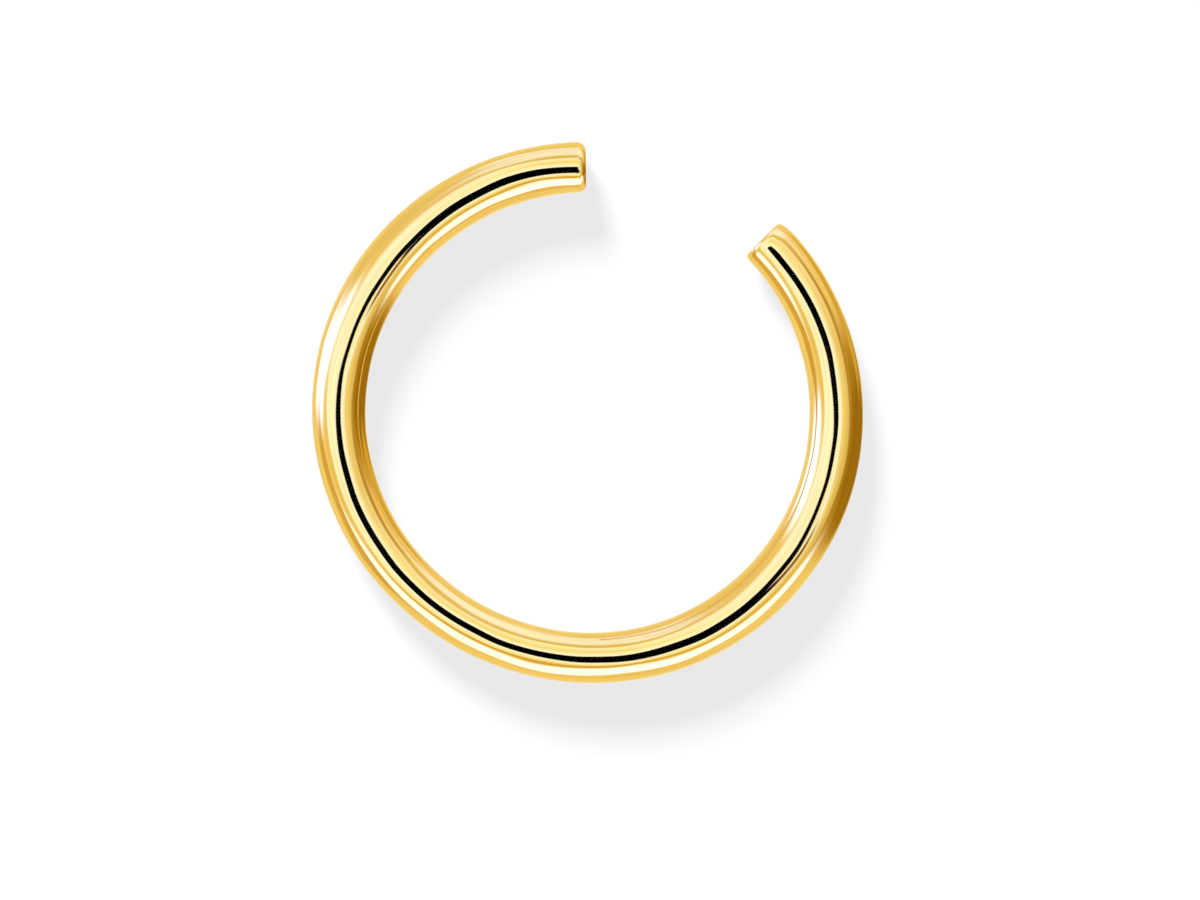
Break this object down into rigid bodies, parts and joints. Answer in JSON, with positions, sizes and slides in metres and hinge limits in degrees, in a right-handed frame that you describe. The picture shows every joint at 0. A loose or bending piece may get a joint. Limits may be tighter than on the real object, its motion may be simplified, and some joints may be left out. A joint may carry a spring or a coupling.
{
  "type": "ear cuff",
  "caption": "Plain open hoop of round polished gold-plated wire with tumbled ends, slipped over the edge of the ear and worn without a piercing.",
  "frame": {"origin": "centre of the hoop, on the surface that the hoop lies on", "axes": "+Z along the hoop's axis, up from the surface; +Y from the hoop's centre to the middle of the opening between the wire ends; +X from side to side"},
  "size_m": [0.0132, 0.0123, 0.0013],
  "materials": {
    "gold_plating": "polished yellow gold plating over sterling silver"
  },
  "bodies": {
    "root": {"cuff_hoop": "gold_plating"}
  },
  "joints": []
}
